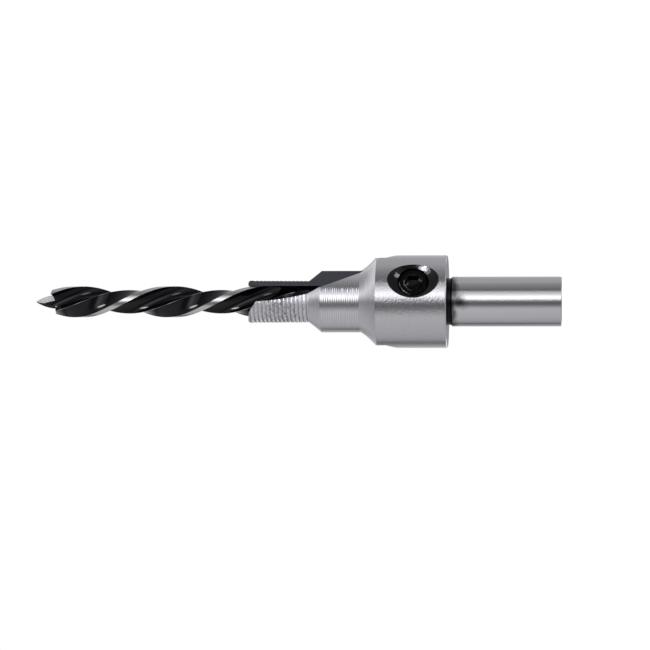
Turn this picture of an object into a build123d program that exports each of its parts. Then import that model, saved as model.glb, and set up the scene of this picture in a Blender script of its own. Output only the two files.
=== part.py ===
from build123d import *
import os
from math import cos, radians, sin, tan

# A stepped drill bit of three pieces: a brad point twist drill, the turned holder that
# carries it, and the socket set screw that clamps it. Sizes are in millimetres.
# The tool stands on the flat end of its shank. Z runs up its axis from that end to the
# point, +X is the side of the first cutting gash, and the set screw faces -Y and +X.
# The tool cuts left-handed: seen from above its point it turns clockwise.

# Heights above the shank end
TOOL_LENGTH = 85.0
GROOVE_BOTTOM = 17.45
COLLAR_BACK = 18.25
COLLAR_FRONT = 29.5
CONE_WAIST = 30.9
CONE_FRONT = 32.2
STEP_FRONT = 38.5
NOSE_BACK = 40.5
NOSE_FRONT = 50.4

# Holder
SHANK_DIA = 8.0
GROOVE_DIA = 7.5
COLLAR_DIA = 14.9
CONE_WAIST_DIA = 11.86
STEP_DIA = 9.9
NOSE_BACK_DIA = 6.7
NOSE_FRONT_DIA = 6.8
NOSE_CORNER_RADIUS = 0.45
EDGE_BREAK = 0.15
BORE_DIA = 5.1
BORE_FLOOR = 14.0

# Two flats across the front of the collar, each with a sloping run-out behind it
FLATS_ACROSS = 14.0
FLAT_END = 28.0
FLAT_RUN_OUT = 1.7

# Two cutting gashes. Each is ground by the rim of a large wheel whose flat side lies in
# the plane of the cutting face, and whose other side leans away from it.
GASH_WHEEL_RADIUS = 35.0
GASH_WHEEL_HEIGHT = 50.0
GASH_PAST_AXIS = 0.87
GASH_LEAN = 15.0
GASH_WIDTH = 8.0

# End relief behind each cutting edge of the nose: a shallow plane, then a steep one
RELIEF_ANGLE = 8.0
BACK_RELIEF_ANGLE = 34.0
BACK_RELIEF_START = 2.3

# Set screw, M5 x 4 with a cup point, and its countersunk hole in the collar
SCREW_HEIGHT = 23.5
SCREW_AZIMUTH = -62.0
SCREW_DIA = 4.9
SCREW_LENGTH = 4.0
SCREW_EDGE = 0.35
SCREW_HOLE_DIA = 5.0
COUNTERSINK_DIA = 8.2
COUNTERSINK_ANGLE = 120.0
SOCKET_ACROSS_FLATS = 2.5
SOCKET_DEPTH = 2.0
CUP_DIA = 2.6
CUP_DEPTH = 0.6
CUP_TAPER = 60.0

# Twist drill. Its section holds two bodies, each with a heel, a flat clearance, a low
# step up to a narrow land, and the round flute in front of the land's cutting edge.
DRILL_DIA = 5.0
HEEL_RADIUS = 1.94
WEB_RADIUS = 0.75
LAND_STEP = 0.12
HEEL_TO_LAND = 73.5
LAND_ANGLE = 19.5
HELIX_LEAD = 30.0
HEEL_AT_X_HEIGHT = 54.9
FLUTE_END = 33.0
FLUTE_RUN_OUT = 5.0
DRILL_END_CHAMFER = 0.3

# Brad point between two spurs
SPUR_HEIGHT = 82.3
NOTCH_HEIGHT = 81.9
LIP_RELIEF_ANGLE = 6.0
BRAD_BASE_RADIUS = 0.82
BRAD_BASE_HEIGHT = 81.5
BRAD_WAIST_RADIUS = 0.56
BRAD_WAIST_HEIGHT = 83.6
BRAD_TIP_RADIUS = 0.06

os.makedirs("parts", exist_ok=True)

collar_radius = COLLAR_DIA / 2
shank_radius = SHANK_DIA / 2
groove_radius = GROOVE_DIA / 2
step_radius = STEP_DIA / 2
nose_radius = NOSE_FRONT_DIA / 2
nose_corner_height = NOSE_FRONT - NOSE_CORNER_RADIUS
drill_radius = DRILL_DIA / 2


def polar(radius, azimuth):
    return (radius * cos(radians(azimuth)), radius * sin(radians(azimuth)))


# Holder, turned from one bar: shank, relief groove, collar, slightly hollow countersinking
# cone, step and nose. Its profile is drawn on the +X side and spun about the axis.
with BuildPart() as holder:
    with BuildSketch(Plane.XZ):
        with BuildLine():
            Polyline(
                (nose_radius - NOSE_CORNER_RADIUS, NOSE_FRONT),
                (0, NOSE_FRONT),
                (0, 0),
                (shank_radius - EDGE_BREAK, 0),
                (shank_radius, EDGE_BREAK),
                (shank_radius, GROOVE_BOTTOM),
                (groove_radius, GROOVE_BOTTOM + shank_radius - groove_radius),
                (groove_radius, COLLAR_BACK),
                (collar_radius - EDGE_BREAK, COLLAR_BACK),
                (collar_radius, COLLAR_BACK + EDGE_BREAK),
                (collar_radius, COLLAR_FRONT),
            )
            ThreePointArc(
                (collar_radius, COLLAR_FRONT),
                (CONE_WAIST_DIA / 2, CONE_WAIST),
                (step_radius, CONE_FRONT),
            )
            Polyline(
                (step_radius, CONE_FRONT),
                (step_radius, STEP_FRONT),
                (NOSE_BACK_DIA / 2, NOSE_BACK),
                (nose_radius, nose_corner_height),
            )
            CenterArc(
                (nose_radius - NOSE_CORNER_RADIUS, nose_corner_height),
                NOSE_CORNER_RADIUS,
                0,
                90,
            )
        make_face()
    revolve(axis=Axis.Z)

    # Blind bore with a flat floor, on which the drill seats
    with Locations((0, 0, NOSE_FRONT)):
        Hole(radius=BORE_DIA / 2, depth=NOSE_FRONT - BORE_FLOOR)

    for azimuth in (0, 180):
        # Flat across the front of the collar, then the slope on which its wheel ran out
        with BuildSketch(Plane.XZ.rotated((0, 0, azimuth))):
            with BuildLine():
                Polyline(
                    (FLATS_ACROSS / 2, COLLAR_FRONT + FLAT_RUN_OUT),
                    (FLATS_ACROSS / 2, FLAT_END),
                    (collar_radius, FLAT_END - FLAT_RUN_OUT),
                    (collar_radius + FLAT_RUN_OUT, FLAT_END - FLAT_RUN_OUT),
                    (collar_radius + FLAT_RUN_OUT, COLLAR_FRONT + FLAT_RUN_OUT),
                    close=True,
                )
            make_face()
        extrude(amount=collar_radius, both=True, mode=Mode.SUBTRACT)

        # Gash: the wheel's flat side leaves a cutting face in a plane through the axis
        with BuildSketch(Plane.XZ.rotated((0, 0, azimuth))):
            with Locations((GASH_WHEEL_RADIUS - GASH_PAST_AXIS, GASH_WHEEL_HEIGHT)):
                Circle(GASH_WHEEL_RADIUS)
        extrude(amount=GASH_WIDTH, taper=GASH_LEAN, mode=Mode.SUBTRACT)

        # Shallow end relief of the land that this gash ends, from the opposite edge on
        shallow = Plane(
            (0, 0, NOSE_FRONT),
            x_dir=(1, 0, 0),
            z_dir=(0, -tan(radians(RELIEF_ANGLE)), 1),
        )
        with BuildSketch(shallow.rotated((0, 0, azimuth))):
            Rectangle(STEP_DIA, STEP_DIA, align=(Align.CENTER, Align.MAX))
        extrude(amount=STEP_DIA, mode=Mode.SUBTRACT)

        # Steep back relief of the same land
        back_relief_fall = (BACK_RELIEF_START + STEP_DIA) * tan(radians(BACK_RELIEF_ANGLE))
        with BuildSketch(Plane.XZ.rotated((0, 0, azimuth))):
            with BuildLine():
                Polyline(
                    (-BACK_RELIEF_START, NOSE_FRONT),
                    (STEP_DIA, NOSE_FRONT),
                    (STEP_DIA, NOSE_FRONT - back_relief_fall),
                    close=True,
                )
            make_face()
        extrude(amount=STEP_DIA, mode=Mode.SUBTRACT)

    # Hole for the set screw, from its countersink in the collar through to the bore
    hole_mouth = Plane(
        (*polar(collar_radius, SCREW_AZIMUTH), SCREW_HEIGHT),
        x_dir=(0, 0, 1),
        z_dir=(*polar(1, SCREW_AZIMUTH), 0),
    )
    with Locations(hole_mouth):
        CounterSinkHole(
            radius=SCREW_HOLE_DIA / 2,
            counter_sink_radius=COUNTERSINK_DIA / 2,
            depth=collar_radius,
            counter_sink_angle=COUNTERSINK_ANGLE,
        )
holder.part.label = "holder"
export_step(holder.part, "parts/holder.step")

# Azimuth of the first lip, where the helix has brought the first cutting edge to the spur
spur_turn = (HEEL_AT_X_HEIGHT - SPUR_HEIGHT) * 360 / HELIX_LEAD
lip_azimuth = spur_turn - HEEL_TO_LAND - LAND_ANGLE

# Brad: a square point with curved flanks, set to the lips
with BuildPart() as brad:
    for azimuth, combine in ((0, Mode.ADD), (90, Mode.INTERSECT)):
        with BuildSketch(Plane.XZ.rotated((0, 0, lip_azimuth + azimuth))):
            with BuildLine():
                ThreePointArc(
                    (BRAD_BASE_RADIUS, BRAD_BASE_HEIGHT),
                    (BRAD_WAIST_RADIUS, BRAD_WAIST_HEIGHT),
                    (BRAD_TIP_RADIUS, TOOL_LENGTH),
                )
                Line((BRAD_TIP_RADIUS, TOOL_LENGTH), (-BRAD_TIP_RADIUS, TOOL_LENGTH))
                ThreePointArc(
                    (-BRAD_TIP_RADIUS, TOOL_LENGTH),
                    (-BRAD_WAIST_RADIUS, BRAD_WAIST_HEIGHT),
                    (-BRAD_BASE_RADIUS, BRAD_BASE_HEIGHT),
                )
                Line((-BRAD_BASE_RADIUS, BRAD_BASE_HEIGHT), (BRAD_BASE_RADIUS, BRAD_BASE_HEIGHT))
            make_face()
        extrude(amount=DRILL_DIA, both=True, mode=combine)

# Front of the drill as ground: a thick bar with two lips, each of which runs from the
# brad out to its spur and falls away behind its edge
with BuildPart() as ground_front:
    with BuildSketch(Plane.XY.offset(BORE_FLOOR)):
        Circle(DRILL_DIA)
    extrude(amount=TOOL_LENGTH - BORE_FLOOR)
    for azimuth in (lip_azimuth, lip_azimuth + 180):
        with BuildSketch(Plane.XZ.rotated((0, 0, azimuth))):
            with BuildLine():
                Polyline(
                    (-DRILL_DIA, NOTCH_HEIGHT),
                    (BRAD_BASE_RADIUS, NOTCH_HEIGHT),
                    (drill_radius, SPUR_HEIGHT),
                    (2 * DRILL_DIA, SPUR_HEIGHT),
                    (2 * DRILL_DIA, TOOL_LENGTH + DRILL_DIA),
                    (-DRILL_DIA, TOOL_LENGTH + DRILL_DIA),
                    close=True,
                )
            make_face()
        behind = polar(cos(radians(LIP_RELIEF_ANGLE)), azimuth + 90)
        extrude(
            amount=3 * DRILL_DIA,
            dir=(*behind, -sin(radians(LIP_RELIEF_ANGLE))),
            mode=Mode.SUBTRACT,
        )
    add(brad.part)

# Twist drill: its section is swept up the axis along a left-handed helix
with BuildPart() as twist_drill:
    sweep_height = TOOL_LENGTH + 1 - FLUTE_END
    first_heel = (HEEL_AT_X_HEIGHT - FLUTE_END) * 360 / HELIX_LEAD
    with BuildSketch(Plane.XY.offset(FLUTE_END)):
        with BuildLine():
            for heel in (first_heel, first_heel + 180):
                land_back = heel - HEEL_TO_LAND
                lip = land_back - LAND_ANGLE
                next_heel = heel - 180
                Polyline(
                    polar(HEEL_RADIUS, heel),
                    polar(drill_radius - LAND_STEP, land_back),
                    polar(drill_radius, land_back),
                )
                ThreePointArc(
                    polar(drill_radius, land_back),
                    polar(drill_radius, (land_back + lip) / 2),
                    polar(drill_radius, lip),
                )
                ThreePointArc(
                    polar(drill_radius, lip),
                    polar(WEB_RADIUS, (lip + next_heel) / 2),
                    polar(HEEL_RADIUS, next_heel),
                )
        make_face()
    with BuildLine() as axis_line:
        Line((0, 0, FLUTE_END), (0, 0, FLUTE_END + sweep_height))
    with BuildLine(Plane.XY.offset(FLUTE_END)) as helix_line:
        Helix(HELIX_LEAD, sweep_height, DRILL_DIA, lefthand=True)
    sweep(path=axis_line.wire(), binormal=helix_line.wire())

    # Plain shank inside the holder, with the slope on which the flutes run out
    with BuildSketch(Plane.XZ):
        with BuildLine():
            Polyline(
                (0, BORE_FLOOR),
                (drill_radius - DRILL_END_CHAMFER, BORE_FLOOR),
                (drill_radius, BORE_FLOOR + DRILL_END_CHAMFER),
                (drill_radius, FLUTE_END),
                (0, FLUTE_END + FLUTE_RUN_OUT),
                close=True,
            )
        make_face()
    revolve(axis=Axis.Z)
    add(ground_front.part, mode=Mode.INTERSECT)
twist_drill.part.label = "twist_drill"
export_step(twist_drill.part, "parts/twist_drill.step")

# Set screw: its cup point bears on the drill's plain shank, and its socket faces out
with BuildPart() as set_screw:
    screw_face = Plane(
        (*polar(drill_radius + SCREW_LENGTH, SCREW_AZIMUTH), SCREW_HEIGHT),
        x_dir=(0, 0, 1),
        z_dir=(*polar(1, SCREW_AZIMUTH), 0),
    )
    with BuildSketch(screw_face):
        Circle(SCREW_DIA / 2)
    extrude(amount=-SCREW_LENGTH)
    chamfer(set_screw.edges().filter_by(GeomType.CIRCLE), SCREW_EDGE)
    with BuildSketch(screw_face):
        RegularPolygon(SOCKET_ACROSS_FLATS / 2, 6, major_radius=False)
    extrude(amount=-SOCKET_DEPTH, mode=Mode.SUBTRACT)
    with BuildSketch(screw_face.offset(-SCREW_LENGTH)):
        Circle(CUP_DIA / 2)
    extrude(amount=CUP_DEPTH, taper=CUP_TAPER, mode=Mode.SUBTRACT)
set_screw.part.label = "set_screw"
export_step(set_screw.part, "parts/set_screw.step")
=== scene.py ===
from math import atan2, ceil, cos, floor, hypot, pi, radians, sin, tan

import bmesh
import bpy
from mathutils import Matrix, Vector


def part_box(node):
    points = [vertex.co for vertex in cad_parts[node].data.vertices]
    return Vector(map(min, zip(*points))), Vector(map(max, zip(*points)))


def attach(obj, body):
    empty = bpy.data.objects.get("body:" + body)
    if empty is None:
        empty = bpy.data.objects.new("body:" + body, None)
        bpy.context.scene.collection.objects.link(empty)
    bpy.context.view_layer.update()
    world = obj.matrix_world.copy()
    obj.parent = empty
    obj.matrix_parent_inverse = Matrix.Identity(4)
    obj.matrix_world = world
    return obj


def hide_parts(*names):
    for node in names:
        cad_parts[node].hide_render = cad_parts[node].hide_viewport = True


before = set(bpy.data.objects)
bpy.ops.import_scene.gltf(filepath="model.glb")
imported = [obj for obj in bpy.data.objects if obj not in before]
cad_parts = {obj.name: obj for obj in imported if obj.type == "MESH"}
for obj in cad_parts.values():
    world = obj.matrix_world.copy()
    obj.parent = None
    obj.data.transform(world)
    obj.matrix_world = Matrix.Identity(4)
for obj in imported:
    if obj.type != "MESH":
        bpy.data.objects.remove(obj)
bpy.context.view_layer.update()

# Holder. The real piece is turned from one bar of steel: shank, relief groove, collar, cone, step
# and a nose left with the ridges of a coarse turning pass. Then it is bored, two gashes are ground
# along it, and the whole of it but the turned and ground outside stays blacked.
mm = 0.001

# Heights are from the foot of the shank, and radii from the axis
HOLDER_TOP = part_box("holder")[1].z
COLLAR_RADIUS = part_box("holder")[1].y
BORE_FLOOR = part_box("twist_drill")[0].z
BORE_RADIUS = 2.55 * mm
SHANK_RADIUS = 4.0 * mm
SHANK_EDGE = 0.15 * mm
GROOVE_BOTTOM = 17.45 * mm
GROOVE_RADIUS = 3.75 * mm
COLLAR_BACK = 18.25 * mm
COLLAR_EDGE = 0.15 * mm
COLLAR_FRONT = 29.5 * mm
CONE_WAIST = 30.9 * mm
CONE_WAIST_RADIUS = 5.93 * mm
CONE_FRONT = 32.2 * mm
CONE_POINTS = 10
STEP_RADIUS = 4.95 * mm
STEP_FRONT = 38.5 * mm
NOSE_BACK = 40.5 * mm
NOSE_BACK_RADIUS = 3.35 * mm
NOSE_RADIUS = 3.4 * mm
NOSE_CORNER = 0.45 * mm
RIDGE_PITCH = 0.65 * mm
RIDGE_DEPTH = 0.07 * mm
POINTS_PER_RIDGE = 8
TURNED_SEGMENTS = 180
FLAT_FROM_AXIS = 7.0 * mm
FLAT_END = 28.0 * mm
FLAT_RUN_OUT = 1.7 * mm
GASH_WHEEL_RADIUS = 35.0 * mm
GASH_WHEEL_HEIGHT = 50.0 * mm
GASH_PAST_AXIS = 0.87 * mm
GASH_LEAN = radians(15)
GASH_WIDTH = 8.0 * mm
RELIEF_ANGLE = radians(8)
BACK_RELIEF_ANGLE = radians(34)
BACK_RELIEF_START = 2.3 * mm
SCREW_HEIGHT = 23.5 * mm
SCREW_AZIMUTH = radians(-62)
SCREW_HOLE_RADIUS = 2.5 * mm
COUNTERSINK_RADIUS = 4.1 * mm
COUNTERSINK_HALF_ANGLE = radians(60)
# How far the shapes that are cut away reach past the piece
CLEAR = 10 * mm
# The angle past which an edge between two faces stays crisp
CRISP_ANGLE = radians(25)


def add_node(tree, kind, inputs=None, **settings):
    """Adds a node, sets it up, and sets or links its inputs."""
    made = tree.nodes.new(kind)
    for setting, value in settings.items():
        setattr(made, setting, value)
    for socket, value in (inputs or {}).items():
        if isinstance(value, bpy.types.NodeSocket):
            tree.links.new(value, made.inputs[socket])
        else:
            made.inputs[socket].default_value = value
    return made


def add_group(name, kind, inputs, outputs):
    """A new node group with these inputs and outputs, by socket type, and its two end nodes."""
    group = bpy.data.node_groups.new(name, kind)
    for in_out, sockets in (("INPUT", inputs), ("OUTPUT", outputs)):
        for socket, kind_of_value in sockets.items():
            socket_type = "NodeSocket" + kind_of_value
            group.interface.new_socket(socket, in_out=in_out, socket_type=socket_type)
    return group, group.nodes.new("NodeGroupInput"), group.nodes.new("NodeGroupOutput")


def principled(name, color, **sockets):
    """A new material of this base color, with these other sockets of its Principled BSDF set."""
    made = bpy.data.materials.new(name)
    made.use_nodes = True
    shader = made.node_tree.nodes["Principled BSDF"]
    shader.inputs["Base Color"].default_value = (*color, 1)
    for socket, value in sockets.items():
        shader.inputs[socket.replace("_", " ")].default_value = value
    return made


# The marks that a turning tool or a wheel leaves: rings about the axis, which noise makes wander by
# a share of their pitch. Half the radius is taken off the height, so ends and cones have them too.
RING_WANDER = 0.35
RADIUS_SHARE = -0.5
EVEN_RING_MIDDLE = 0.5
EVEN_RING_SWING = 0.2
marks, marks_in, marks_out = add_group(
    "turning marks",
    "ShaderNodeTree",
    {"Pitch": "Float", "Run": "Float", "Evenness": "Float"},
    {"Height": "Float"},
)
mark_at = add_node(marks, "ShaderNodeTexCoord").outputs["Object"]
mark_parts = add_node(marks, "ShaderNodeSeparateXYZ", {0: mark_at}).outputs
level = add_node(marks, "ShaderNodeCombineXYZ", {0: mark_parts["X"], 1: mark_parts["Y"]})
from_axis = add_node(marks, "ShaderNodeVectorMath", {0: level.outputs[0]}, operation="LENGTH")
along = add_node(
    marks,
    "ShaderNodeMath",
    {0: from_axis.outputs["Value"], 1: RADIUS_SHARE, 2: mark_parts["Z"]},
    operation="MULTIPLY_ADD",
)
spread = add_node(
    marks,
    "ShaderNodeCombineXYZ",
    {0: mark_parts["X"], 1: mark_parts["Y"], 2: along.outputs[0]},
)
cell = add_node(
    marks,
    "ShaderNodeCombineXYZ",
    {0: marks_in.outputs["Run"], 1: marks_in.outputs["Run"], 2: marks_in.outputs["Pitch"]},
)
scaled = add_node(
    marks, "ShaderNodeVectorMath", {0: spread.outputs[0], 1: cell.outputs[0]}, operation="DIVIDE"
)
ragged_ring = add_node(
    marks,
    "ShaderNodeTexNoise",
    {"Vector": scaled.outputs[0], "Scale": 1.0, "Detail": 2.0, "Roughness": 0.6},
)
pitches = add_node(marks, "ShaderNodeSeparateXYZ", {0: scaled.outputs[0]})
wandering = add_node(
    marks,
    "ShaderNodeMath",
    {0: ragged_ring.outputs["Fac"], 1: RING_WANDER, 2: pitches.outputs["Z"]},
    operation="MULTIPLY_ADD",
)
phase = add_node(
    marks, "ShaderNodeMath", {0: wandering.outputs[0], 1: 2 * pi}, operation="MULTIPLY"
)
wave = add_node(marks, "ShaderNodeMath", {0: phase.outputs[0]}, operation="SINE")
even_ring = add_node(
    marks,
    "ShaderNodeMath",
    {0: wave.outputs[0], 1: EVEN_RING_SWING, 2: EVEN_RING_MIDDLE},
    operation="MULTIPLY_ADD",
)
mark_height = add_node(
    marks,
    "ShaderNodeMix",
    {
        "Factor": marks_in.outputs["Evenness"],
        2: ragged_ring.outputs["Fac"],
        3: even_ring.outputs[0],
    },
)
marks.links.new(mark_height.outputs[0], marks_out.inputs["Height"])


def add_marks(material, pitch, run, depth, evenness=0.0):
    """Gives a material turning marks of this pitch, length and depth, ragged (0) to even (1)."""
    tree = material.node_tree
    group = add_node(
        tree, "ShaderNodeGroup", {"Pitch": pitch, "Run": run, "Evenness": evenness}, node_tree=marks
    )
    bump = add_node(tree, "ShaderNodeBump", {"Height": group.outputs["Height"], "Distance": depth})
    tree.links.new(bump.outputs[0], tree.nodes["Principled BSDF"].inputs["Normal"])


# A patch that is worn or stained; the shank's patches are painted shade. Its ragged rim is where
# noise, less a share of the distance from its middle, falls to a level, and at its reach along each
# axis nothing of it is left.
RIM_FALL = -0.6
RIM_LEVEL = 0.25
patch, patch_in, patch_out = add_group(
    "wear and shade patch",
    "ShaderNodeTree",
    {"Middle": "Vector", "Reach": "Vector", "Grain": "Float", "Softness": "Float"},
    {"Mask": "Float"},
)
patch_at = add_node(patch, "ShaderNodeTexCoord").outputs["Object"]
from_middle = add_node(
    patch,
    "ShaderNodeVectorMath",
    {0: patch_at, 1: patch_in.outputs["Middle"]},
    operation="SUBTRACT",
)
in_reaches = add_node(
    patch,
    "ShaderNodeVectorMath",
    {0: from_middle.outputs[0], 1: patch_in.outputs["Reach"]},
    operation="DIVIDE",
)
apart = add_node(patch, "ShaderNodeVectorMath", {0: in_reaches.outputs[0]}, operation="LENGTH")
fineness = add_node(
    patch, "ShaderNodeMath", {0: 1.0, 1: patch_in.outputs["Grain"]}, operation="DIVIDE"
)
ragged_rim = add_node(
    patch, "ShaderNodeTexNoise", {"Vector": patch_at, "Scale": fineness.outputs[0], "Detail": 3.0}
)
nearness = add_node(
    patch,
    "ShaderNodeMath",
    {0: apart.outputs["Value"], 1: RIM_FALL, 2: ragged_rim.outputs["Fac"]},
    operation="MULTIPLY_ADD",
)
past_rim = add_node(
    patch, "ShaderNodeMath", {0: nearness.outputs[0], 1: RIM_LEVEL}, operation="SUBTRACT"
)
softened = add_node(
    patch,
    "ShaderNodeMath",
    {0: past_rim.outputs[0], 1: patch_in.outputs["Softness"]},
    operation="DIVIDE",
)
mask = add_node(
    patch, "ShaderNodeMath", {0: softened.outputs[0], 1: 0.5}, operation="ADD", use_clamp=True
)
patch.links.new(mask.outputs[0], patch_out.inputs["Mask"])


def spot(x, y, z, reach):
    """A round patch, from the place of its middle and its reach, all in millimetres."""
    return Vector((x, y, z)) * mm, Vector((reach, reach, reach)) * mm


def wear(material, patches, grain, softness, patch_color):
    """Wears a material to metal of another color in patches, each of a middle and a reach, or
    paints shade there.
    """
    tree = material.node_tree
    shader = tree.nodes["Principled BSDF"]
    worn = 0.0
    for middle, reach in patches:
        group = add_node(
            tree,
            "ShaderNodeGroup",
            {"Middle": middle, "Reach": reach, "Grain": grain, "Softness": softness},
            node_tree=patch,
        )
        worn = add_node(
            tree, "ShaderNodeMath", {0: worn, 1: group.outputs["Mask"]}, operation="MAXIMUM"
        ).outputs[0]
    color = shader.inputs["Base Color"]
    patch_tinted = add_node(
        tree,
        "ShaderNodeMix",
        {"Factor": worn, 6: color.default_value, 7: (*patch_color, 1)},
        data_type="RGBA",
    )
    tree.links.new(patch_tinted.outputs[2], color)
    metallic = shader.inputs["Metallic"]
    if metallic.default_value < 1:
        laid_bare = add_node(
            tree, "ShaderNodeMix", {"Factor": worn, 2: metallic.default_value, 3: 1.0}
        )
        tree.links.new(laid_bare.outputs[0], metallic)


# The shank is ground, and painted darker all round beside its groove, as painted shade where its
# highlight fades: the ring's reach across is so wide that only the height counts.
ground_steel = principled("ground steel", (0.62, 0.62, 0.63), Metallic=1.0, Roughness=0.12)
add_marks(ground_steel, pitch=0.3 * mm, run=0.3 * mm, depth=0.01 * mm)
groove_shade = ((0, 0, GROOVE_BOTTOM), (1, 1, 1.4 * mm))
wear(
    ground_steel,
    # Painted shade: a ring darker beside the groove, and a darker spot on the side towards -Y
    [groove_shade, spot(-0.2, -4.0, 16.4, 2.0)],
    grain=2.4 * mm,
    softness=0.4,
    patch_color=(0.12, 0.12, 0.13),
)

# The collar has a fine satin finish. The cone, the step and the flats show how they were cut, and
# the lips along the cone's edge are honed.
satin_steel = principled("satin steel", (0.61, 0.61, 0.62), Metallic=1.0, Roughness=0.11)
add_marks(satin_steel, pitch=0.18 * mm, run=0.4 * mm, depth=0.036 * mm)
turned_steel = principled("turned steel", (0.67, 0.67, 0.68), Metallic=1.0, Roughness=0.18)
add_marks(turned_steel, pitch=0.29 * mm, run=6 * mm, depth=0.05 * mm, evenness=0.6)
honed_steel = principled("honed steel", (0.6, 0.6, 0.61), Metallic=0.4, Roughness=0.25)

# The nose is torn by the coarse pass and stained about its middle, and the valleys of its ridges
# are painted darker as painted shade, in wandering bands of their pitch.
torn_steel = principled("torn steel", (0.82, 0.82, 0.85), Metallic=1.0, Roughness=0.42)
add_marks(torn_steel, pitch=0.33 * mm, run=0.9 * mm, depth=0.2 * mm, evenness=0.5)
wear(
    torn_steel,
    [spot(0, 0, 45, 7)],
    grain=0.35 * mm,
    softness=0.2,
    patch_color=(0.38, 0.38, 0.4),
)
nose_tree = torn_steel.node_tree
valley_shade_bands = add_node(
    nose_tree,
    "ShaderNodeGroup",
    {"Pitch": RIDGE_PITCH, "Run": 1.5 * mm, "Evenness": 1.0},
    node_tree=marks,
)
valley_shade = add_node(
    nose_tree,
    "ShaderNodeMapRange",
    {"Value": valley_shade_bands.outputs["Height"], "From Min": 0.45, "From Max": 0.7},
)
nose_color = nose_tree.nodes["Principled BSDF"].inputs["Base Color"]
# Painted shade: the ridges' valleys are multiplied darker
valley_shaded = add_node(
    nose_tree,
    "ShaderNodeMix",
    {"Factor": valley_shade.outputs[0], 6: nose_color.links[0].from_socket, 7: (0.5, 0.5, 0.48, 1)},
    data_type="RGBA",
    blend_type="MULTIPLY",
)
nose_tree.links.new(valley_shaded.outputs[2], nose_color)

# The screw's hole is black, scuffed bright at the mouth of the hole, and the groove is painted
# black as painted shade. The gashes are a grayer black, and the nose's end is a black that bare
# steel shows through.
oxide_black_and_shade = principled(
    "oxide black and groove shade", (0.003, 0.003, 0.004), Roughness=0.25, Specular_IOR_Level=0.25
)
wear(
    oxide_black_and_shade,
    [spot(5.1, -4.7, 21.7, 1.9), spot(4.12, -5.4, 26.1, 0.7)],
    grain=0.3 * mm,
    softness=0.2,
    patch_color=(0.4, 0.4, 0.41),
)
gash_steel = principled("gash steel", (0.022, 0.026, 0.034), Roughness=0.5)
add_marks(gash_steel, pitch=0.2 * mm, run=2 * mm, depth=0.01 * mm)
mottled_black = principled(
    "mottled black", (0.02, 0.02, 0.024), Roughness=0.35, Specular_IOR_Level=0.4
)
add_marks(mottled_black, pitch=0.3 * mm, run=0.3 * mm, depth=0.3 * mm)
wear(
    mottled_black,
    [spot(0, 0, HOLDER_TOP / mm, 6.5)],
    grain=0.5 * mm,
    softness=0.12,
    patch_color=(0.4, 0.4, 0.41),
)


def new_piece(name, corners, faces, material):
    """A new mesh object of one material."""
    mesh = bpy.data.meshes.new(name)
    mesh.from_pydata(corners, [], faces)
    mesh.materials.append(material)
    piece = bpy.data.objects.new(name, mesh)
    bpy.context.scene.collection.objects.link(piece)
    return piece


def skin(name, foot, rings, head, material):
    """Skins rings of points, one above the other, and closes them to the points foot and head."""
    corners = [foot] + [corner for ring in rings for corner in ring] + [head]
    faces = []
    last = len(corners) - 1
    count = len(rings[0])
    for step in range(count):
        after = (step + 1) % count
        faces.append((0, 1 + after, 1 + step))
        for low in range(1, last - count, count):
            high = low + count
            faces.append((low + step, low + after, high + after, high + step))
        faces.append((last, last - count + step, last - count + after))
    return new_piece(name, corners, faces, material)


def turn(name, profile, material, segments=TURNED_SEGMENTS):
    """Spins a profile of (radius, height) points, from axis to axis, about Z into a closed mesh."""
    angles = [2 * pi * step / segments for step in range(segments)]
    rings = [
        [(radius * cos(angle), radius * sin(angle), height) for angle in angles]
        for radius, height in profile[1:-1]
    ]
    return skin(name, (0, 0, profile[0][1]), rings, (0, 0, profile[-1][1]), material)


def prism(name, outline, start, end, material, azimuth=0.0, far_outline=None):
    """Runs an outline of (x, z) points from y = -start to y = -end, and turns the prism about Z."""
    count = len(outline)
    corners = [(x, -start, z) for x, z in outline]
    corners += [(x, -end, z) for x, z in far_outline or outline]
    faces = [tuple(range(count)), tuple(reversed(range(count, 2 * count)))]
    for step in range(count):
        after = (step + 1) % count
        faces.append((step, count + step, count + after, after))
    piece = new_piece(name, corners, faces, material)
    piece.data.transform(Matrix.Rotation(azimuth, 4, "Z"))
    set_outwards(piece.data)
    return piece


def set_outwards(mesh):
    """Turns a closed mesh's faces outwards: all of them, where it holds a negative volume."""
    volume = 0.0
    for face in mesh.polygons:
        points = [mesh.vertices[index].co for index in face.vertices]
        for second, third in zip(points[1:], points[2:]):
            volume += points[0].dot(second.cross(third))
    if volume < 0:
        mesh.flip_normals()


def make_plain(piece):
    """Turns what the piece's modifiers make into its own mesh."""
    graph = bpy.context.evaluated_depsgraph_get()
    mesh = bpy.data.meshes.new_from_object(piece.evaluated_get(graph))
    piece.modifiers.clear()
    piece.data = mesh


def carve(piece, tools, operation="DIFFERENCE"):
    """Cuts each tool away, or joins or intersects it. New faces keep the tool's material."""
    for tool in tools:
        boolean = piece.modifiers.new("carve", "BOOLEAN")
        boolean.object = tool
        boolean.operation = operation
        boolean.solver = "MANIFOLD"
        boolean.material_mode = "TRANSFER"
    make_plain(piece)
    for tool in tools:
        bpy.data.objects.remove(tool)


def polar(radius, angle):
    """The point at a radius and an angle from +X, in a section across the axis."""
    return Vector((radius * cos(angle), radius * sin(angle)))


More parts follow.
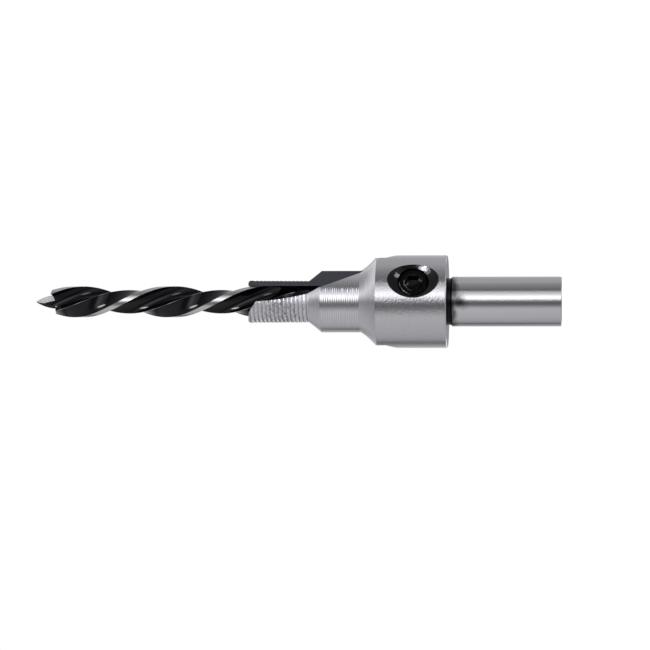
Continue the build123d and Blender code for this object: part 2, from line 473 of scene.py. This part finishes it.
def arc_through(start, middle, end, count):
    """Points on the circle through three points, from the first to the last, without the first."""
    across, over = middle - start, end - start
    twice_area = 2 * across.cross(over)
    center = start + Vector(
        (
            (over.y * across.length_squared - across.y * over.length_squared) / twice_area,
            (across.x * over.length_squared - over.x * across.length_squared) / twice_area,
        )
    )
    radius = (start - center).length
    first = atan2(*reversed(start - center))
    sweep = (atan2(*reversed(end - center)) - first) % (2 * pi)
    halfway = (atan2(*reversed(middle - center)) - first) % (2 * pi)
    if halfway > sweep:
        sweep -= 2 * pi
    return [center + polar(radius, first + sweep * step / count) for step in range(1, count + 1)]


def nose_radius(height):
    """The nose's radius at a height, down into the ridges of its turning pass."""
    share = (height - NOSE_BACK) / (HOLDER_TOP - NOSE_BACK)
    crest = NOSE_BACK_RADIUS + share * (NOSE_RADIUS - NOSE_BACK_RADIUS)
    return crest - RIDGE_DEPTH * (1 - cos(2 * pi * (height - NOSE_BACK) / RIDGE_PITCH)) / 2


corner_height = HOLDER_TOP - NOSE_CORNER
ridge_steps = floor((corner_height - NOSE_BACK) / RIDGE_PITCH) * POINTS_PER_RIDGE
ridge_heights = [
    NOSE_BACK + step * RIDGE_PITCH / POINTS_PER_RIDGE for step in range(ridge_steps + 1)
]
corner_angles = [radians(angle) for angle in range(0, 91, 15)]
holder_profile = [
    (0, 0),
    (SHANK_RADIUS - SHANK_EDGE, 0),
    (SHANK_RADIUS, SHANK_EDGE),
    (SHANK_RADIUS, GROOVE_BOTTOM),
    (GROOVE_RADIUS, GROOVE_BOTTOM + SHANK_RADIUS - GROOVE_RADIUS),
    (GROOVE_RADIUS, COLLAR_BACK),
    (COLLAR_RADIUS - COLLAR_EDGE, COLLAR_BACK),
    (COLLAR_RADIUS, COLLAR_BACK + COLLAR_EDGE),
    (COLLAR_RADIUS, COLLAR_FRONT),
    *arc_through(
        Vector((COLLAR_RADIUS, COLLAR_FRONT)),
        Vector((CONE_WAIST_RADIUS, CONE_WAIST)),
        Vector((STEP_RADIUS, CONE_FRONT)),
        CONE_POINTS,
    ),
    (STEP_RADIUS, STEP_FRONT),
    *[(nose_radius(height), height) for height in ridge_heights],
    *[
        (NOSE_RADIUS - NOSE_CORNER * (1 - cos(angle)), corner_height + NOSE_CORNER * sin(angle))
        for angle in corner_angles
    ],
    (0, HOLDER_TOP),
]
holder = turn("turned_holder", holder_profile, turned_steel)

bore_top = HOLDER_TOP + CLEAR
bore = turn(
    "bore_tool",
    [(0, BORE_FLOOR), (BORE_RADIUS, BORE_FLOOR), (BORE_RADIUS, bore_top), (0, bore_top)],
    oxide_black_and_shade,
)
countersink_depth = (COUNTERSINK_RADIUS - SCREW_HOLE_RADIUS) / tan(COUNTERSINK_HALF_ANGLE)
screw_hole = turn(
    "screw_hole_tool",
    [
        (0, 0),
        (SCREW_HOLE_RADIUS, 0),
        (SCREW_HOLE_RADIUS, COLLAR_RADIUS - countersink_depth),
        (COUNTERSINK_RADIUS, COLLAR_RADIUS),
        (COUNTERSINK_RADIUS, COLLAR_RADIUS + CLEAR),
        (0, COLLAR_RADIUS + CLEAR),
    ],
    oxide_black_and_shade,
)
# What is made round Z is turned by this to point out of the collar where the screw is
to_screw = (
    Matrix.Translation((0, 0, SCREW_HEIGHT))
    @ Matrix.Rotation(SCREW_AZIMUTH, 4, "Z")
    @ Matrix.Rotation(pi / 2, 4, "Y")
)
screw_hole.data.transform(to_screw)

flat_outline = [
    (FLAT_FROM_AXIS, COLLAR_FRONT + FLAT_RUN_OUT),
    (FLAT_FROM_AXIS, FLAT_END),
    (COLLAR_RADIUS, FLAT_END - FLAT_RUN_OUT),
    (COLLAR_RADIUS + FLAT_RUN_OUT, FLAT_END - FLAT_RUN_OUT),
    (COLLAR_RADIUS + FLAT_RUN_OUT, COLLAR_FRONT + FLAT_RUN_OUT),
]


def wheel_rim(radius):
    """A rim of the gashing wheel, whose full radius reaches past the tool's axis."""
    center = GASH_WHEEL_RADIUS - GASH_PAST_AXIS
    steps = [radians(half_degree / 2) for half_degree in range(720)]
    return [(center + radius * cos(step), GASH_WHEEL_HEIGHT + radius * sin(step)) for step in steps]


wheel_side = wheel_rim(GASH_WHEEL_RADIUS)
wheel_far_side = wheel_rim(GASH_WHEEL_RADIUS - GASH_WIDTH * tan(GASH_LEAN))
shallow_outline = [
    (0, HOLDER_TOP),
    (-CLEAR, HOLDER_TOP - CLEAR * tan(RELIEF_ANGLE)),
    (-CLEAR, HOLDER_TOP + CLEAR),
    (0, HOLDER_TOP + CLEAR),
]
steep_outline = [
    (-BACK_RELIEF_START, HOLDER_TOP),
    (CLEAR, HOLDER_TOP - (CLEAR + BACK_RELIEF_START) * tan(BACK_RELIEF_ANGLE)),
    (CLEAR, HOLDER_TOP + CLEAR),
    (-BACK_RELIEF_START, HOLDER_TOP + CLEAR),
]
grinding_tools = []
for side in (0, pi):
    grinding_tools += [
        prism("flat_tool", flat_outline, -COLLAR_RADIUS, COLLAR_RADIUS, turned_steel, side),
        prism("gash_tool", wheel_side, 0, GASH_WIDTH, gash_steel, side, wheel_far_side),
        prism("relief_tool", shallow_outline, -CLEAR, CLEAR, mottled_black, side + pi / 2),
        prism("back_relief_tool", steep_outline, 0, CLEAR, mottled_black, side),
    ]
carve(holder, [bore, screw_hole] + grinding_tools)


def slots_of(mesh):
    """The number of each material's slot, by the material's name."""
    return {material.name: index for index, material in enumerate(mesh.materials)}


# How squarely a face of a gash looks towards -Y or +Y where it is a lip
LIP_FACING = 0.9


def dress_lips(piece):
    """Gives the lips that cut the countersink, along the cone's edge, their honed finish."""
    mesh = piece.data
    divided = bmesh.new()
    divided.from_mesh(mesh)
    # Each plane goes through its point, square to the way there from the origin
    for point in ((0, 0, CONE_FRONT), (STEP_RADIUS, 0, 0), (-STEP_RADIUS, 0, 0)):
        everything = divided.verts[:] + divided.edges[:] + divided.faces[:]
        bmesh.ops.bisect_plane(divided, geom=everything, plane_co=point, plane_no=point)
    divided.to_mesh(mesh)
    divided.free()
    slots = slots_of(mesh)
    for face in mesh.polygons:
        beside_cone = face.center.z < CONE_FRONT and abs(face.center.x) > STEP_RADIUS
        in_gash = face.material_index == slots[gash_steel.name]
        if in_gash and beside_cone and abs(face.normal.y) > LIP_FACING:
            face.material_index = slots[honed_steel.name]


# How far aside from straight out of the axis a face of a round surface may look, as a sine
OFF_ROUND = 0.05


def dress_turned(piece, finishes):
    """Gives each turned face the finish of its height, and normals true to its round surface."""
    mesh = piece.data
    mesh.shade_smooth()
    mesh.set_sharp_from_angle(angle=CRISP_ANGLE)
    normals = [Vector(corner.vector) for corner in mesh.corner_normals]
    slots = slots_of(mesh)
    for face in mesh.polygons:
        if face.material_index != slots[turned_steel.name]:
            continue
        for finish, low, high in finishes:
            if low < face.center.z < high:
                face.material_index = slots[finish.name]
        for corner in face.loop_indices:
            point = mesh.vertices[mesh.loops[corner].vertex_index].co
            outward = Vector((point.x, point.y, 0))
            if outward.length < SHANK_EDGE or outward.dot(face.normal) < 0:
                continue
            outward.normalize()
            if abs(outward.to_2d().cross(face.normal.to_2d())) > OFF_ROUND:
                continue
            upward = Vector((0, 0, face.normal.z))
            normals[corner] = outward * hypot(face.normal.x, face.normal.y) + upward
    mesh.normals_split_custom_set(normals)


for extra_finish in (ground_steel, satin_steel, torn_steel, honed_steel):
    holder.data.materials.append(extra_finish)
dress_lips(holder)
dress_turned(
    holder,
    [
        (ground_steel, 0, GROOVE_BOTTOM),
        # The groove is painted black, as painted shade
        (oxide_black_and_shade, GROOVE_BOTTOM, COLLAR_BACK),
        (satin_steel, COLLAR_BACK, COLLAR_FRONT),
        (torn_steel, NOSE_BACK, HOLDER_TOP),
    ],
)
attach(holder, "root")
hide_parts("holder")

# Twist drill. The real one is a brad point drill of hardened steel, blacked all over and then
# ground bright on its round lands and its point. Its two flutes turn to the left, and its plain
# shank sits in the holder's bore.
TOOL_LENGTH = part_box("twist_drill")[1].z
DRILL_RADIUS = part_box("twist_drill")[1].x
HEEL_RADIUS = 1.94 * mm
HEEL_ROUND = 0.12 * mm
HEEL_POINTS = 4
HEEL_TO_LAND = radians(73.5)
CLEARANCE_POINTS = 8
LAND_STEP = 0.12 * mm
LAND_ANGLE = radians(19.5)
LAND_POINTS = 6
WEB_RADIUS = 0.75 * mm
FLUTE_POINTS = 20
HELIX_LEAD = 30.0 * mm
# The height at which a heel stands towards +X
HEEL_AT_X_HEIGHT = 54.9 * mm
FLUTE_END = 33.0 * mm
FLUTE_RUN_OUT = 5.0 * mm
# What the twisted bar has to spare, for the point to be ground from
FLUTE_SPARE = 1.0 * mm
RING_SPACING = 0.25 * mm
DRILL_END_CHAMFER = 0.3 * mm
SPUR_HEIGHT = 82.3 * mm
NOTCH_HEIGHT = 81.9 * mm
LIP_RELIEF_ANGLE = radians(6)
LIP_OVERLAP = 0.002 * mm
BRAD_BASE_RADIUS = 0.82 * mm
BRAD_BASE_HEIGHT = 81.5 * mm
BRAD_WAIST_RADIUS = 0.56 * mm
BRAD_WAIST_HEIGHT = 83.6 * mm
BRAD_TIP_RADIUS = 0.06 * mm
BRAD_POINTS = 12

# The lands and the lips are ground bright, and the black is rubbed from the rounded heels
ground_land = principled("ground land", (0.62, 0.61, 0.6), Metallic=1.0, Roughness=0.2)
add_marks(ground_land, pitch=0.15 * mm, run=1 * mm, depth=0.004 * mm)
worn_heel = principled("worn heel", (0.2, 0.2, 0.22), Metallic=1.0, Roughness=0.12)
fluted_black = principled(
    "fluted black", (0.001, 0.001, 0.002), Roughness=0.08, Specular_IOR_Level=0.3
)

# Half of the drill's section, from one heel over the land and through the flute to the other
heel = polar(HEEL_RADIUS, 0)
land_edge = polar(DRILL_RADIUS - LAND_STEP, -HEEL_TO_LAND)
land_back = polar(DRILL_RADIUS, -HEEL_TO_LAND)
land_middle = polar(DRILL_RADIUS, -HEEL_TO_LAND - LAND_ANGLE / 2)
lip = polar(DRILL_RADIUS, -HEEL_TO_LAND - LAND_ANGLE)
flute_floor = polar(WEB_RADIUS, (-HEEL_TO_LAND - LAND_ANGLE - pi) / 2)
flute = arc_through(lip, flute_floor, -heel, FLUTE_POINTS)
into_flute = heel - (heel + flute[-2]).normalized() * HEEL_ROUND
onto_back = heel + (land_edge - heel).normalized() * HEEL_ROUND
round_middle = (into_flute + onto_back) / 4 + heel / 2
half = [into_flute]
half += arc_through(into_flute, round_middle, onto_back, HEEL_POINTS)
half += [heel.lerp(land_edge, step / CLEARANCE_POINTS) for step in range(1, CLEARANCE_POINTS + 1)]
half.append(land_back)
half += arc_through(land_back, land_middle, lip, LAND_POINTS)
half += flute[:-1]
section = half + [-point for point in half]

# The tree that twists the drill: its section is carried up the axis and turned with height
twist, twist_in, twist_out = add_group(
    "twist a section",
    "GeometryNodeTree",
    {
        "Section": "Geometry",
        "Start": "Float",
        "End": "Float",
        "Lead": "Float",
        "Turned": "Float",
        "Rings": "Int",
        "Material": "Material",
    },
    {"Geometry": "Geometry"},
)
foot = add_node(twist, "ShaderNodeCombineXYZ", {2: twist_in.outputs["Start"]})
head = add_node(twist, "ShaderNodeCombineXYZ", {2: twist_in.outputs["End"]})
axis = add_node(
    twist, "GeometryNodeCurvePrimitiveLine", {"Start": foot.outputs[0], "End": head.outputs[0]}
)
rings = add_node(
    twist,
    "GeometryNodeResampleCurve",
    {"Curve": axis.outputs[0], "Count": twist_in.outputs["Rings"]},
)
outline = add_node(twist, "GeometryNodeMeshToCurve", {"Mesh": twist_in.outputs["Section"]})
bar = add_node(
    twist,
    "GeometryNodeCurveToMesh",
    {"Curve": rings.outputs[0], "Profile Curve": outline.outputs[0], "Fill Caps": True},
)
point_at = add_node(twist, "GeometryNodeInputPosition")
point_parts = add_node(twist, "ShaderNodeSeparateXYZ", {0: point_at.outputs[0]})
turns = add_node(
    twist,
    "ShaderNodeMath",
    {0: point_parts.outputs["Z"], 1: twist_in.outputs["Lead"]},
    operation="DIVIDE",
)
angle = add_node(
    twist,
    "ShaderNodeMath",
    {0: turns.outputs[0], 1: -2 * pi, 2: twist_in.outputs["Turned"]},
    operation="MULTIPLY_ADD",
)
swung = add_node(
    twist,
    "ShaderNodeVectorRotate",
    {"Vector": point_at.outputs[0], "Angle": angle.outputs[0]},
    rotation_type="Z_AXIS",
)
twisted = add_node(
    twist, "GeometryNodeSetPosition", {"Geometry": bar.outputs[0], "Position": swung.outputs[0]}
)
real = add_node(twist, "GeometryNodeRealizeInstances", {"Geometry": twisted.outputs[0]})
painted = add_node(
    twist,
    "GeometryNodeSetMaterial",
    {"Geometry": real.outputs[0], "Material": twist_in.outputs["Material"]},
)
twist.links.new(painted.outputs[0], twist_out.inputs["Geometry"])


def grow(piece, tree, **values):
    """Runs a geometry tree on a piece, with these inputs, and keeps the result as a plain mesh."""
    modifier = piece.modifiers.new(tree.name, "NODES")
    modifier.node_group = tree
    for item in tree.interface.items_tree:
        if item.item_type == "SOCKET" and item.in_out == "INPUT" and item.name in values:
            modifier[item.identifier] = values[item.name]
    make_plain(piece)


section_corners = [(point.x, point.y, 0) for point in section]
drill = new_piece("brad_point_drill", section_corners, [], fluted_black)
drill.data.edges.add(len(section))
for step, edge in enumerate(drill.data.edges):
    edge.vertices = (step, (step + 1) % len(section))
grow(
    drill,
    twist,
    Start=FLUTE_END,
    End=TOOL_LENGTH + FLUTE_SPARE,
    Lead=HELIX_LEAD,
    Turned=2 * pi * HEEL_AT_X_HEIGHT / HELIX_LEAD,
    Rings=ceil((TOOL_LENGTH - FLUTE_END) / RING_SPACING),
    Material=fluted_black,
)
set_outwards(drill.data)

# The plain shank, with the slope on which the flutes run out, is joined on. Then the point is
# ground away above the lips, and the brad is what the wheel leaves standing between them.
drill_shank = turn(
    "drill_shank",
    [
        (0, BORE_FLOOR),
        (DRILL_RADIUS - DRILL_END_CHAMFER, BORE_FLOOR),
        (DRILL_RADIUS, BORE_FLOOR + DRILL_END_CHAMFER),
        (DRILL_RADIUS, FLUTE_END),
        (0, FLUTE_END + FLUTE_RUN_OUT),
    ],
    ground_land,
)
carve(drill, [drill_shank], "UNION")


def heel_azimuth(height):
    """Where a heel stands round the axis at a height of the twisted drill."""
    return (HEEL_AT_X_HEIGHT - height) * 2 * pi / HELIX_LEAD


lip_azimuth = heel_azimuth(SPUR_HEIGHT) - HEEL_TO_LAND - LAND_ANGLE
flank = [Vector((BRAD_BASE_RADIUS, BRAD_BASE_HEIGHT))] + arc_through(
    Vector((BRAD_BASE_RADIUS, BRAD_BASE_HEIGHT)),
    Vector((BRAD_WAIST_RADIUS, BRAD_WAIST_HEIGHT)),
    Vector((BRAD_TIP_RADIUS, TOOL_LENGTH)),
    BRAD_POINTS,
)
brad_outline = [(point.x, point.y) for point in flank]
brad_outline += [(-point.x, point.y) for point in reversed(flank)]
lip_outline = [
    (-CLEAR, NOTCH_HEIGHT),
    (BRAD_BASE_RADIUS, NOTCH_HEIGHT),
    (DRILL_RADIUS, SPUR_HEIGHT),
    (CLEAR, SPUR_HEIGHT),
    (CLEAR, TOOL_LENGTH + CLEAR),
    (-CLEAR, TOOL_LENGTH + CLEAR),
]
lip_fall = CLEAR * tan(LIP_RELIEF_ANGLE)
behind_lip = [(x, z - lip_fall) for x, z in lip_outline]
for azimuth in (lip_azimuth, lip_azimuth + pi):
    brad = prism("brad", brad_outline, -CLEAR, CLEAR, honed_steel, lip_azimuth)
    across_lips = lip_azimuth + pi / 2
    brad_across = prism("brad_across", brad_outline, -CLEAR, CLEAR, fluted_black, across_lips)
    carve(brad, [brad_across], "INTERSECT")
    lip_tool = prism("lip_tool", lip_outline, LIP_OVERLAP, -CLEAR, ground_land, azimuth, behind_lip)
    carve(lip_tool, [brad])
    carve(drill, [lip_tool])


def dress_drill(piece):
    """Gives the lands their ground finish, the heels their wear, and every edge its crispness."""
    mesh = piece.data
    slots = slots_of(mesh)
    for face in mesh.polygons:
        from_axis = hypot(face.center.x, face.center.y)
        face_azimuth = atan2(face.center.y, face.center.x)
        from_heel = (face_azimuth - heel_azimuth(face.center.z) + pi / 2) % pi - pi / 2
        points = [mesh.vertices[index].co for index in face.vertices]
        if min(hypot(point.x, point.y) for point in points) > DRILL_RADIUS - LAND_STEP / 2:
            face.material_index = slots[ground_land.name]
        elif abs(from_heel) * HEEL_RADIUS < HEEL_ROUND and from_axis > HEEL_RADIUS - HEEL_ROUND:
            face.material_index = slots[worn_heel.name]
    mesh.shade_smooth()
    mesh.set_sharp_from_angle(angle=CRISP_ANGLE)


drill.data.materials.append(worn_heel)
dress_drill(drill)
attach(drill, "root")
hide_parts("twist_drill")

# Set screw. The real one is a short M5 screw of blacked steel with a hexagon socket and a cup
# point. It is turned down into the collar's threaded hole until its cup bites on the drill's shank.
SCREW_RADIUS = 2.45 * mm
SCREW_LENGTH = 4.0 * mm
SCREW_EDGE = 0.35 * mm
THREAD_PITCH = 0.8 * mm
THREAD_DEPTH = 0.42 * mm
# The share of the thread's depth that its flat crest and its flat root each cut off
THREAD_FLAT = 0.12
SOCKET_ACROSS_FLATS = 2.5 * mm
SOCKET_DEPTH = 2.0 * mm
SOCKET_POINT = 0.35 * mm
SOCKET_MOUTH = 0.12 * mm
CUP_RADIUS = 1.3 * mm
CUP_DEPTH = 0.6 * mm
SCREW_SEGMENTS = 96
SCREW_RING_SPACING = 0.05 * mm
# How far up the faces of the screw's rubbed outer edge look, least and most
EDGE_LEAST_UP = 0.3
EDGE_MOST_UP = 0.95

screw_black = principled(
    "screw black", (0.001, 0.001, 0.001), Roughness=0.1, Specular_IOR_Level=0.2
)
screw_edge = principled(
    "screw edge", (0.001, 0.001, 0.001), Roughness=0.2, Specular_IOR_Level=0.2
)
wear(
    screw_edge,
    [spot(1.9, -6.4, 25.3, 2.3)],
    grain=0.5 * mm,
    softness=0.25,
    patch_color=(0.7, 0.7, 0.7),
)


def thread_radius(along, around):
    """The screw's radius at a length and a share of a turn: its thread, within its end bevels."""
    share = (along / THREAD_PITCH - around) % 1
    depth = min(max(abs(2 * share - 1) * (1 + 2 * THREAD_FLAT) - THREAD_FLAT, 0), 1)
    bevel = SCREW_RADIUS - SCREW_EDGE + min(along, SCREW_LENGTH - along)
    return min(SCREW_RADIUS - THREAD_DEPTH * depth, bevel)


def screw_ring(along):
    """A ring of the screw's outside, at a length from its cup, round Z."""
    points = []
    for step in range(SCREW_SEGMENTS):
        around = step / SCREW_SEGMENTS
        radius = thread_radius(along, around)
        points.append((*polar(radius, 2 * pi * around), DRILL_RADIUS + along))
    return points


screw_face = DRILL_RADIUS + SCREW_LENGTH
screw_steps = round(SCREW_LENGTH / SCREW_RING_SPACING)
screw = skin(
    "socket_screw",
    (0, 0, DRILL_RADIUS),
    [screw_ring(step * SCREW_RING_SPACING) for step in range(screw_steps + 1)],
    (0, 0, screw_face),
    screw_black,
)

socket_radius = SOCKET_ACROSS_FLATS / 2 / cos(pi / 6)
socket_floor = screw_face - SOCKET_DEPTH
socket = turn(
    "socket_tool",
    [
        (0, socket_floor),
        (socket_radius, socket_floor + SOCKET_POINT),
        (socket_radius, screw_face + CLEAR),
        (0, screw_face + CLEAR),
    ],
    screw_black,
    segments=6,
)
mouth_radius = socket_radius + SOCKET_MOUTH
mouth = turn(
    "mouth_tool",
    [
        (0, screw_face - mouth_radius),
        (2 * mouth_radius, screw_face + mouth_radius),
        (0, screw_face + CLEAR),
    ],
    screw_black,
)
cup = turn("cup_tool", [(0, 0), (2 * CUP_RADIUS, 0), (0, DRILL_RADIUS + CUP_DEPTH)], screw_black)
carve(screw, [socket, mouth, cup])
screw.data.materials.append(screw_edge)
edge_slot = slots_of(screw.data)[screw_edge.name]
for face in screw.data.polygons:
    at_edge = face.center.z > screw_face - SCREW_EDGE
    if at_edge and EDGE_LEAST_UP < face.normal.z < EDGE_MOST_UP:
        face.material_index = edge_slot
screw.data.transform(to_screw)
screw.data.shade_smooth()
screw.data.set_sharp_from_angle(angle=CRISP_ANGLE)
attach(screw, "root")
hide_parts("set_screw")

# Floor, light and camera. The tool stands on a plain white floor in a white tent. What shines sees
# the tent's softbox, a little towards +X from the camera, its dark gap where the camera looks in,
# and its gray walls.

# The brightness of the tent's walls, by degrees round the tool from the camera towards +X
tent_wall = [
    (-180, 0.9),
    (-150, 0.5),
    (-134, 0.33),
    (-123, 0.16),
    (-112, 0.38),
    (-100, 0.5),
    (-85, 0.57),
    (-40, 0.66),
    (-30, 0.62),
    (-20, 0.33),
    (-13, 0.17),
    (-2, 0.18),
    (3, 0.32),
    (7, 0.8),
    (11, 1.4),
    (16, 2.0),
    (22, 2.0),
    (28, 1.35),
    (36, 0.95),
    (45, 0.72),
    (49, 0.45),
    (54, 0.16),
    (64, 0.26),
    (80, 0.34),
    (90, 0.4),
    (102, 0.52),
    (130, 0.5),
    (155, 0.58),
    (180, 0.9),
]
# What that brightness is multiplied by below the horizon, by the same degrees
tent_skirt = [
    (-180, 0.6),
    (-152, 2.6),
    (-125, 2.3),
    (-104, 0.6),
    (110, 0.6),
    (122, 1.5),
    (140, 1.5),
    (165, 0.6),
    (180, 0.6),
]
# The brightness overhead and underfoot, by the share of a direction that points towards +X
tent_roof = [
    (-1, 0.55),
    (-0.35, 0.48),
    (-0.1, 0.34),
    (-0.03, 0.32),
    (0.05, 0.42),
    (0.2, 0.8),
    (0.32, 1.1),
    (0.45, 0.55),
    (0.6, 0.36),
    (1, 0.4),
]
# Its lamps: azimuth and height of the middle, half of the width and height, and color
tent_lamps = [
    ((radians(24), 0.55, 0), (radians(22), 0.05, 1), (24, 24, 25, 1)),
    ((radians(44), -0.3, 0), (radians(10), 0.12, 1), (5.5, 5.6, 6.6, 1)),
]
# The bluish white of its cloth
TENT_CLOTH = (1.0, 0.995, 1.035)
# How far its bands lean as they rise, in radians of azimuth at a height of 1
BAND_LEAN = 0.45
# The heights, as shares of a unit direction, between which the skirt and the roof take over
SKIRT_START = 0.02
SKIRT_FULL = -0.2
ROOF_START = 0.4
ROOF_FULL = 0.65

world = bpy.data.worlds.new("tent")
world.use_nodes = True
sky = world.node_tree
towards = add_node(sky, "ShaderNodeTexCoord").outputs["Generated"]
parts = add_node(sky, "ShaderNodeSeparateXYZ", {0: towards}).outputs
away = add_node(sky, "ShaderNodeMath", {0: parts["Y"], 1: -1.0}, operation="MULTIPLY")
round_tool = add_node(
    sky, "ShaderNodeMath", {0: parts["X"], 1: away.outputs[0]}, operation="ARCTAN2"
)
leant = add_node(
    sky,
    "ShaderNodeMath",
    {0: parts["Z"], 1: BAND_LEAN, 2: round_tool.outputs[0]},
    operation="MULTIPLY_ADD",
)
steepness = add_node(sky, "ShaderNodeMath", {0: parts["Z"]}, operation="ABSOLUTE")


def add_ramp(value, stops, unit=1.0):
    """The tent's color by a value, from stops of (value, brightness), the values in this unit."""
    low, high = stops[0][0], stops[-1][0]
    share = add_node(
        sky, "ShaderNodeMapRange", {"Value": value, "From Min": low * unit, "From Max": high * unit}
    )
    ramp = add_node(sky, "ShaderNodeValToRGB", {0: share.outputs[0]})
    elements = ramp.color_ramp.elements
    while len(elements) < len(stops):
        elements.new(0.5)
    for element, (stop, brightness) in zip(elements, stops):
        element.position = (stop - low) / (high - low)
        element.color = (*[brightness * part for part in TENT_CLOTH], 1)
    return ramp.outputs[0]


to_skirt = add_node(
    sky,
    "ShaderNodeMapRange",
    {"Value": parts["Z"], "From Min": SKIRT_START, "From Max": SKIRT_FULL},
)
wall = add_node(
    sky,
    "ShaderNodeMix",
    {
        "Factor": to_skirt.outputs[0],
        6: add_ramp(leant.outputs[0], tent_wall, radians(1)),
        7: add_ramp(leant.outputs[0], tent_skirt, radians(1)),
    },
    data_type="RGBA",
    blend_type="MULTIPLY",
)
to_roof = add_node(
    sky,
    "ShaderNodeMapRange",
    {"Value": steepness.outputs[0], "From Min": ROOF_START, "From Max": ROOF_FULL},
)
tent_glow = add_node(
    sky,
    "ShaderNodeMix",
    {"Factor": to_roof.outputs[0], 6: wall.outputs[2], 7: add_ramp(parts["X"], tent_roof)},
    data_type="RGBA",
)
on_tent = add_node(sky, "ShaderNodeCombineXYZ", {0: round_tool.outputs[0], 1: parts["Z"]})
for lamp_middle, lamp_reach, lamp_color in tent_lamps:
    from_lamp = add_node(
        sky, "ShaderNodeVectorMath", {0: on_tent.outputs[0], 1: lamp_middle}, operation="SUBTRACT"
    )
    in_lamp = add_node(
        sky, "ShaderNodeVectorMath", {0: from_lamp.outputs[0], 1: lamp_reach}, operation="DIVIDE"
    )
    off_middle = add_node(sky, "ShaderNodeVectorMath", {0: in_lamp.outputs[0]}, operation="LENGTH")
    shine = add_node(
        sky,
        "ShaderNodeMapRange",
        {"Value": off_middle.outputs["Value"], "From Min": 1.0, "From Max": 0.5},
        interpolation_type="SMOOTHSTEP",
    )
    tent_glow = add_node(
        sky,
        "ShaderNodeMix",
        {"Factor": shine.outputs[0], 6: tent_glow.outputs[2], 7: lamp_color},
        data_type="RGBA",
    )
sky_ray = add_node(sky, "ShaderNodeLightPath")
seen = add_node(
    sky,
    "ShaderNodeMix",
    {"Factor": sky_ray.outputs["Is Camera Ray"], 6: tent_glow.outputs[2], 7: (1, 1, 1, 1)},
    data_type="RGBA",
)
sky.links.new(seen.outputs[2], sky.nodes["Background"].inputs["Color"])
bpy.context.scene.world = world

# The floor glows a little, for the camera alone, so that it looks white under a soft shadow
FLOOR_RADIUS = 1.5
FLOOR_CORNERS = 64
FLOOR_DROP = 0.01 * mm
FLOOR_GLOW = 0.6
floor_white = principled("floor white", (0.8, 0.8, 0.8), Roughness=0.9, Specular_IOR_Level=0.0)
paint = floor_white.node_tree
paint_ray = add_node(paint, "ShaderNodeLightPath")
lit_only = paint.nodes["Principled BSDF"].outputs[0]
glow = add_node(paint, "ShaderNodeEmission", {"Color": (1, 1, 1, 1), "Strength": FLOOR_GLOW})
lit_and_glowing = add_node(paint, "ShaderNodeAddShader", {0: lit_only, 1: glow.outputs[0]})
for_camera = add_node(
    paint,
    "ShaderNodeMixShader",
    {0: paint_ray.outputs["Is Camera Ray"], 1: lit_only, 2: lit_and_glowing.outputs[0]},
)
paint.links.new(for_camera.outputs[0], paint.nodes["Material Output"].inputs["Surface"])
floor_angles = [2 * pi * step / FLOOR_CORNERS for step in range(FLOOR_CORNERS)]
ground_floor = new_piece(
    "floor",
    [(FLOOR_RADIUS * cos(angle), FLOOR_RADIUS * sin(angle), -FLOOR_DROP) for angle in floor_angles],
    [tuple(range(FLOOR_CORNERS))],
    floor_white,
)
ground_floor.visible_glossy = False

# The softbox lights the floor and what isn't shiny. What shines sees it as a part of the tent.
SOFTBOX_AZIMUTH = radians(20)
SOFTBOX_DISTANCE = 0.6
SOFTBOX_HEIGHT = 0.35
SOFTBOX_SIZE = (0.3, 0.5)
SOFTBOX_POWER = 1.2
softbox_light = bpy.data.lights.new("softbox", "AREA")
softbox_light.shape = "RECTANGLE"
softbox_light.size, softbox_light.size_y = SOFTBOX_SIZE
softbox_light.energy = SOFTBOX_POWER
softbox = bpy.data.objects.new("softbox", softbox_light)
softbox.location = (
    SOFTBOX_DISTANCE * sin(SOFTBOX_AZIMUTH),
    -SOFTBOX_DISTANCE * cos(SOFTBOX_AZIMUTH),
    SOFTBOX_HEIGHT,
)
to_tool = Vector((0, 0, TOOL_LENGTH / 2)) - softbox.location
softbox.rotation_euler = to_tool.to_track_quat("-Z", "Y").to_euler()
softbox.visible_glossy = False
softbox.visible_camera = False
bpy.context.scene.collection.objects.link(softbox)

# The camera lies on its side, so that the standing tool lies across the picture. Its focal length,
# the picture's width and the row of the tool's axis are in pixels.
CAMERA_FROM_AXIS = 440 * mm
CAMERA_HEIGHT = 0.4 * mm
AIM_HEIGHT = 38.0 * mm
FOCAL_PIXELS = 2744.0
FRAME_PIXELS = 650.0
AXIS_ROW = 301.6
SENSOR_WIDTH = 36.0
camera_data = bpy.data.cameras.new("camera")
camera_data.sensor_width = SENSOR_WIDTH
camera_data.lens = FOCAL_PIXELS / FRAME_PIXELS * SENSOR_WIDTH
camera_data.clip_start = 1 * mm
camera = bpy.data.objects.new("camera", camera_data)
bpy.context.scene.collection.objects.link(camera)
below_axis = (FRAME_PIXELS / 2 - AXIS_ROW) / FOCAL_PIXELS * CAMERA_FROM_AXIS
stand = Vector((-below_axis, -CAMERA_FROM_AXIS, CAMERA_HEIGHT))
ahead = (Vector((-below_axis, 0, AIM_HEIGHT)) - stand).normalized()
picture_up = Vector((1, 0, 0))
picture_right = ahead.cross(picture_up)
camera_axes = Matrix((picture_right, picture_up, -ahead)).transposed().to_4x4()
camera.matrix_world = Matrix.Translation(stand) @ camera_axes
bpy.context.scene.camera = camera
bpy.context.scene.view_settings.view_transform = "Standard"
